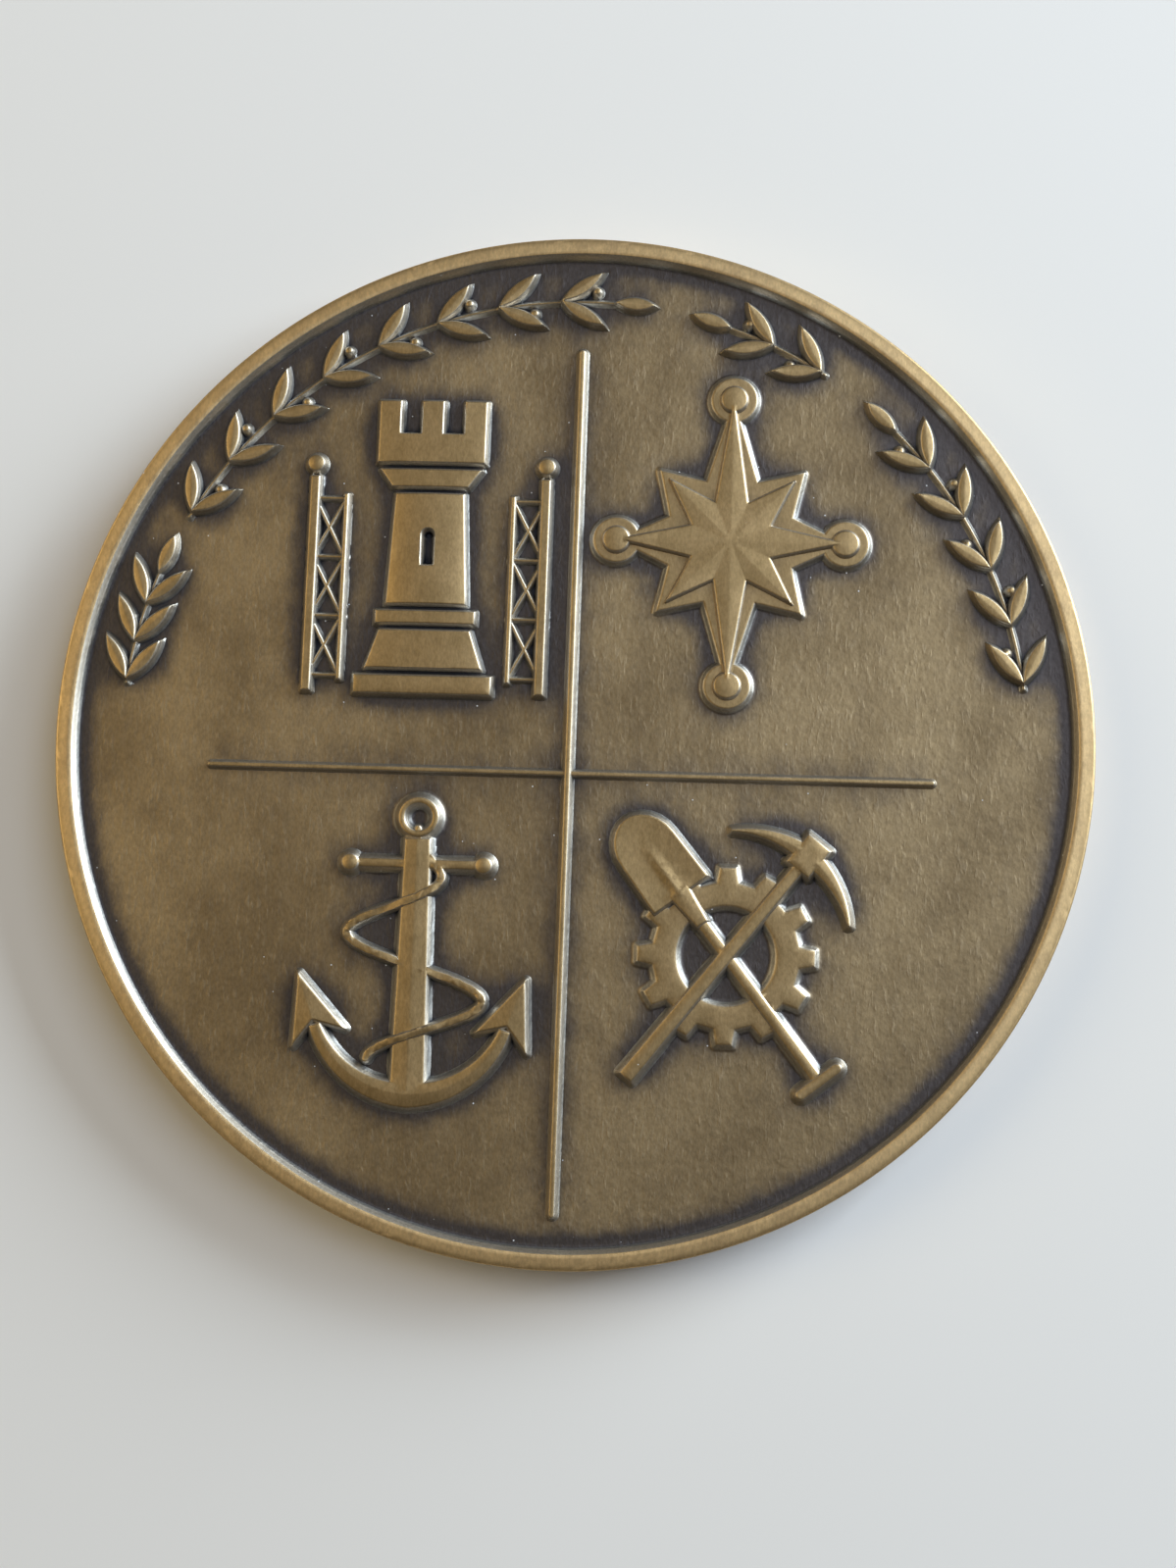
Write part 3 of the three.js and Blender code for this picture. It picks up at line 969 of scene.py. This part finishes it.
def build_medal():
    obverse = dividing_bars() + tower() + star() + anchor() + tools() + legend_laurel()
    reverse = reverse_reliefs()
    front_radius = RADIUS - RIM_WIDTH - RIM_BEVEL
    back_radius = RADIUS - REVERSE_RIM_WIDTH - RIM_BEVEL
    front_raster = Raster(obverse, front_radius)
    back_raster = Raster(reverse, back_radius)
    front = Face(obverse, front_radius - RIM_GAP, front_raster)
    back = Face(reverse, back_radius - RIM_GAP, back_raster)

    field = THICKNESS - OBVERSE_DEPTH
    parts = [np.stack([front.x, front.y, field + front.h], 1)]
    triangles = [front.triangles]
    count = len(front.x)
    back_start = count
    parts.append(np.stack([-back.x, back.y, REVERSE_DEPTH - back.h], 1))
    triangles.append(back.triangles + back_start)
    count += len(back.x)

    ring = front.ring
    angles = np.arctan2(front.y[ring], front.x[ring])
    previous = ring
    for radius, z in rim_profile():
        here = np.arange(len(ring)) + count
        circle = radius * np.stack([np.cos(angles), np.sin(angles)], 1)
        parts.append(np.column_stack([circle, np.full(len(ring), z)]))
        count += len(ring)
        a, b = previous, np.roll(previous, -1)
        c, d = np.roll(here, -1), here
        triangles.append(np.stack([a, d, b], 1))
        triangles.append(np.stack([b, d, c], 1))
        previous = here
    back_ring = back.ring[::-1] + back_start
    back_angles = np.arctan2(back.y[back.ring[::-1]], -back.x[back.ring[::-1]])
    base = angles[0]
    offset = (back_angles - base) % (2 * math.pi)
    start = int(np.argmin(offset))
    back_ring = np.roll(back_ring, -start)
    offset = np.roll(offset, -start)
    offset[0] = 0 if offset[0] < 1e-6 else offset[0]
    triangles.append(np.array(zip_rings(previous, (angles - base) % (2 * math.pi), back_ring, offset)))

    points = np.concatenate(parts) * MM
    faces = np.concatenate(triangles)
    mesh = bpy.data.meshes.new("medal_struck")
    mesh.from_pydata(points.tolist(), [], faces.tolist())
    mesh.update()
    mesh.polygons.foreach_set("use_smooth", np.ones(len(faces), bool))
    mesh.set_sharp_from_angle(angle=CREASE_ANGLE)

    shades = patina_and_shade(points / MM, front_raster, back_raster)
    for name, values in shades.items():
        attribute = mesh.attributes.new(name, "FLOAT", "POINT")
        attribute.data.foreach_set("value", values.astype(np.float32))
    medal = bpy.data.objects.new("medal_struck", mesh)
    bpy.context.scene.collection.objects.link(medal)
    return medal


def patina_and_shade(points, front, back):
    """How far each vertex lies below its surroundings, near and far, and how high it stands: for the
    patina and the painted recess shade.
    """
    x, y, z = points.T
    top = z > THICKNESS / 2
    result = {}
    for name, sigma in (("recess", RECESS_REACH), ("halo", HALO_REACH)):
        values = np.zeros(len(x))
        for raster, here, sx, level in (
            (front, top, 1, z - (THICKNESS - OBVERSE_DEPTH)),
            (back, ~top, -1, REVERSE_DEPTH - z),
        ):
            blurred = raster.blur(sigma)
            surround = raster.read(blurred, sx * x[here], y[here])
            values[here] = (surround - level[here]) / OBVERSE_DEPTH
        result[name] = values
    side = np.hypot(x, y) > RADIUS - EDGE_ROUND
    for values in result.values():
        values[side] = np.minimum(values[side], 0)
    obverse_rise = (z - (THICKNESS - OBVERSE_DEPTH)) / OBVERSE_DEPTH
    result["relief"] = np.clip(np.where(top, obverse_rise, (REVERSE_DEPTH - z) / REVERSE_DEPTH), 0, 1)
    result["relief"][side] = 1
    return result


# ---- Bronze ----


class Shade:
    """Short ways to add the nodes that a procedural material needs."""

    def __init__(self, name):
        self.material = bpy.data.materials.new(name)
        self.material.use_nodes = True
        self.tree = self.material.node_tree
        self.shader = self.tree.nodes["Principled BSDF"]

    def feed(self, socket, value):
        if isinstance(value, bpy.types.NodeSocket):
            self.tree.links.new(value, socket)
        else:
            socket.default_value = value

    def attribute(self, name):
        node = self.tree.nodes.new("ShaderNodeAttribute")
        node.attribute_name = name
        return node.outputs["Fac"]

    def math(self, operation, a, b=0.0):
        node = self.tree.nodes.new("ShaderNodeMath")
        node.operation = operation
        self.feed(node.inputs[0], a)
        self.feed(node.inputs[1], b)
        return node.outputs[0]

    def place(self):
        """The place on the piece in millimetres."""
        coordinates = self.tree.nodes.new("ShaderNodeTexCoord")
        node = self.tree.nodes.new("ShaderNodeVectorMath")
        node.operation = "SCALE"
        self.feed(node.inputs[0], coordinates.outputs["Object"])
        node.inputs["Scale"].default_value = 1 / MM
        return node.outputs[0]

    def upright(self):
        """How nearly the surface faces straight up or down."""
        coordinates = self.tree.nodes.new("ShaderNodeTexCoord")
        split = self.tree.nodes.new("ShaderNodeSeparateXYZ")
        self.feed(split.inputs[0], coordinates.outputs["Normal"])
        return self.math("ABSOLUTE", split.outputs["Z"])

    def dust(self, place, halo):
        """A few specks of pale dust, most of them close to the reliefs."""
        node = self.tree.nodes.new("ShaderNodeTexVoronoi")
        self.feed(node.inputs["Vector"], place)
        node.inputs["Scale"].default_value = 1.3
        split = self.tree.nodes.new("ShaderNodeSeparateColor")
        self.feed(split.inputs[0], node.outputs["Color"])
        speck = self.smooth(node.outputs["Distance"], 0.085, 0.04)
        chance = self.math("ADD", split.outputs[0], self.smooth(halo, 0.0, 0.2, 0.0, 0.26))
        return self.math("MULTIPLY", speck, self.smooth(chance, 0.96, 1.0))

    def noise(self, place, per_mm, detail=2.0, roughness=0.5, distortion=0.0):
        """Noise with so many grains to the millimetre along X, Y and Z."""
        stretch = self.tree.nodes.new("ShaderNodeMapping")
        self.feed(stretch.inputs["Vector"], place)
        stretch.inputs["Scale"].default_value = per_mm
        node = self.tree.nodes.new("ShaderNodeTexNoise")
        self.feed(node.inputs["Vector"], stretch.outputs[0])
        node.inputs["Scale"].default_value = 1.0
        node.inputs["Detail"].default_value = detail
        node.inputs["Roughness"].default_value = roughness
        node.inputs["Distortion"].default_value = distortion
        return node.outputs["Fac"]

    def smooth(self, value, low, high, start=0.0, end=1.0):
        node = self.tree.nodes.new("ShaderNodeMapRange")
        node.interpolation_type = "SMOOTHSTEP"
        for socket, number in zip(node.inputs, (value, low, high, start, end)):
            self.feed(socket, number)
        return node.outputs[0]

    def mix(self, factor, a, b):
        node = self.tree.nodes.new("ShaderNodeMix")
        node.data_type = "RGBA"
        self.feed(node.inputs["Factor"], factor)
        self.feed(node.inputs["A"], a)
        self.feed(node.inputs["B"], b)
        return node.outputs["Result"]


def rgb(red, green, blue):
    return (red, green, blue, 1.0)


def make_bronze():
    """Satin bronze with a fine upright grain, patina round its reliefs, painted shade in its recesses, a
    painted highlight on its walls, and worn bright on its edges.
    """
    s = Shade("bronze")
    place = s.place()
    recess = s.attribute("recess")
    halo = s.attribute("halo")
    relief = s.attribute("relief")

    dash = s.smooth(s.noise(place, (3.6, 1.1, 3.6), 1.5, 0.5, 0.3), 0.54, 0.74)
    grain = s.noise(place, (7.0, 3.2, 7.0), 3.0, 0.6)
    peel = s.noise(place, (2.1, 1.5, 2.1), 2.5, 0.5)
    patch = s.noise(place, (0.8, 0.5, 0.8), 3.0, 0.6)
    cloud = s.noise(place, (0.14, 0.11, 0.14), 4.0, 0.6)
    turned = s.noise(place, (0.2, 0.2, 7.0), 3.0, 0.6)

    stain = s.math("ADD", halo, s.math("MULTIPLY", s.math("SUBTRACT", patch, 0.5), 0.2))
    dark = s.smooth(stain, -0.02, 0.27)
    # The mask of the painted shade in the deepest recesses.
    recess_shade = s.smooth(recess, 0.12, 0.42)
    raised = s.smooth(relief, 0.3, 0.62)
    rim = s.smooth(relief, 0.965, 0.995)
    upright = s.upright()
    # The mask of the painted highlight on the walls, though not on the rim.
    steep_sheen = s.math("MULTIPLY", s.smooth(upright, 0.97, 0.74), s.math("SUBTRACT", 1.0, rim))
    edge = s.math("MULTIPLY", rim, s.smooth(upright, 0.75, 0.35))
    exposed = s.math("SUBTRACT", s.math("MULTIPLY", patch, 0.25), recess)
    worn = s.smooth(exposed, 0.28, 0.75)

    field = s.mix(s.smooth(cloud, 0.32, 0.68), rgb(0.246, 0.175, 0.094), rgb(0.372, 0.272, 0.149))
    dash = s.math("MULTIPLY", dash, s.math("SUBTRACT", 1.0, raised))
    field = s.mix(s.math("MULTIPLY", dash, 0.22), field, rgb(0.46, 0.36, 0.23))
    colour = s.mix(dark, field, rgb(0.098, 0.083, 0.077))
    bright = s.mix(s.smooth(patch, 0.3, 0.7), rgb(0.36, 0.245, 0.112), rgb(0.44, 0.302, 0.144))
    colour = s.mix(raised, colour, bright)
    colour = s.mix(s.math("MULTIPLY", worn, 0.45), colour, rgb(0.72, 0.55, 0.31))
    # Painted highlight: the walls take a pale neutral colour so they shine bluish-white under the cool
    # lamps.
    colour = s.mix(s.math("MULTIPLY", steep_sheen, 0.6), colour, rgb(0.60, 0.58, 0.53))
    # Painted shade: the deepest recesses turn near-black navy over the dark patina there.
    colour = s.mix(recess_shade, colour, rgb(0.014, 0.016, 0.024))
    face_rim = s.mix(s.smooth(patch, 0.38, 0.7), rgb(0.69, 0.482, 0.236), rgb(0.58, 0.402, 0.2))
    edge_rim = s.mix(s.smooth(turned, 0.35, 0.65), rgb(0.36, 0.252, 0.124), rgb(0.54, 0.377, 0.186))
    edge_rim = s.mix(s.smooth(cloud, 0.4, 0.7, 0.0, 0.45), edge_rim, rgb(0.25, 0.186, 0.108))
    colour = s.mix(rim, colour, s.mix(edge, face_rim, edge_rim))
    node = s.tree.nodes.new("ShaderNodeVectorMath")
    node.operation = "SCALE"
    s.feed(node.inputs[0], colour)
    s.feed(node.inputs["Scale"], s.smooth(grain, 0.3, 0.7, 0.88, 1.1))
    dust = s.dust(place, halo)
    s.feed(s.shader.inputs["Base Color"], s.mix(dust, node.outputs[0], rgb(0.75, 0.76, 0.78)))

    rough = s.smooth(dark, 0.0, 1.0, 0.52, 0.5)
    rough = s.math("SUBTRACT", rough, s.math("MULTIPLY", s.math("MAXIMUM", raised, steep_sheen), 0.05))
    rough = s.math("ADD", rough, s.math("MULTIPLY", s.math("SUBTRACT", grain, 0.5), 0.08))
    s.feed(s.shader.inputs["Roughness"], s.math("MAXIMUM", rough, s.math("MULTIPLY", dust, 0.9)))
    matt = s.math("MAXIMUM", s.math("MULTIPLY", recess_shade, 0.45), dust)
    s.feed(s.shader.inputs["Metallic"], s.math("SUBTRACT", 1.0, matt))

    surface = s.math("ADD", s.math("MULTIPLY", dash, 0.6), s.math("MULTIPLY", grain, 0.35))
    dimples = s.math("ADD", s.math("MULTIPLY", peel, 2.4), s.math("MULTIPLY", patch, 2.0))
    surface = s.math("ADD", surface, s.math("MULTIPLY", dimples, s.smooth(raised, 0.0, 1.0, 1.0, 0.35)))
    surface = s.math("ADD", surface, s.math("MULTIPLY", edge, s.math("MULTIPLY", turned, 2.0)))
    bump = s.tree.nodes.new("ShaderNodeBump")
    bump.inputs["Strength"].default_value = 1.0
    bump.inputs["Distance"].default_value = 0.012 * MM
    s.feed(bump.inputs["Height"], surface)
    s.feed(s.shader.inputs["Normal"], bump.outputs[0])
    return s.material


# ---- Stage ----

LAMP_DISTANCE = 0.6


def make_floor():
    mesh = bpy.data.meshes.new("floor")
    size = 1.2
    corners = [(-size, -size, 0), (size, -size, 0), (size, size, 0), (-size, size, 0)]
    mesh.from_pydata(corners, [], [(0, 1, 2, 3)])
    floor = bpy.data.objects.new("floor", mesh)
    material = bpy.data.materials.new("floor_paper")
    material.use_nodes = True
    shader = material.node_tree.nodes["Principled BSDF"]
    shader.inputs["Base Color"].default_value = (0.84, 0.81, 0.77, 1)
    shader.inputs["Roughness"].default_value = 0.9
    mesh.materials.append(material)
    bpy.context.scene.collection.objects.link(floor)


def area_light(name, place, size, power, colour):
    data = bpy.data.lights.new(name, "AREA")
    data.shape = "RECTANGLE"
    data.size = size[0]
    data.size_y = size[1]
    data.energy = power
    data.color = colour
    light = bpy.data.objects.new(name, data)
    light.location = place
    light.rotation_euler = (-Vector(place)).to_track_quat("-Z", "Y").to_euler()
    bpy.context.scene.collection.objects.link(light)


def make_lights():
    """A soft cool window to the upper right, a warm room to the left, and little light elsewhere."""
    world = bpy.data.worlds.new("studio")
    world.use_nodes = True
    background = world.node_tree.nodes["Background"]
    background.inputs["Color"].default_value = (1.0, 0.87, 0.68, 1)
    background.inputs["Strength"].default_value = 0.09
    bpy.context.scene.world = world
    # Azimuth and elevation in degrees, width in metres, watts and colour.
    lamps = {
        "window": (30, 19, 0.36, 6.0, (0.74, 0.87, 1.0)),
        "sky": (33, 60, 0.36, 1.28, (0.71, 0.82, 1.0)),
        "room": (168, 42, 0.36, 1.0, (1.0, 0.84, 0.52)),
    }
    for name, (azimuth, elevation, size, power, colour) in lamps.items():
        flat = unit(math.radians(azimuth)) * math.cos(math.radians(elevation))
        place = Vector((*flat, math.sin(math.radians(elevation)))) * LAMP_DISTANCE
        area_light(name, place, (size, size), power, colour)


def make_camera():
    """The photograph's view: nearly square on, from a little below and to the right.

    The places are in millimetres, from the middle of the obverse.
    """
    above = Vector((0, 0, THICKNESS))
    stand = above + Vector((10.08, -19.83, 142.15))
    target = above + Vector((1.43, -2.93, 0))
    roll = math.radians(2.01)
    z = (stand - target).normalized()
    x = Vector((-math.sin(roll), math.cos(roll), 0)).cross(z).normalized()
    turn = Matrix((x, z.cross(x), z)).transposed()
    data = bpy.data.cameras.new("camera")
    data.sensor_width = 36
    data.lens = 49.2
    data.clip_start = 0.01
    camera = bpy.data.objects.new("camera", data)
    camera.matrix_world = Matrix.Translation(stand * MM) @ turn.to_4x4()
    bpy.context.scene.collection.objects.link(camera)
    bpy.context.scene.camera = camera


make_camera()
make_lights()
make_floor()
bpy.context.scene.view_settings.view_transform = "Standard"

medal = build_medal()
medal.data.materials.append(make_bronze())
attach(medal, "root")
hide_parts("medal")
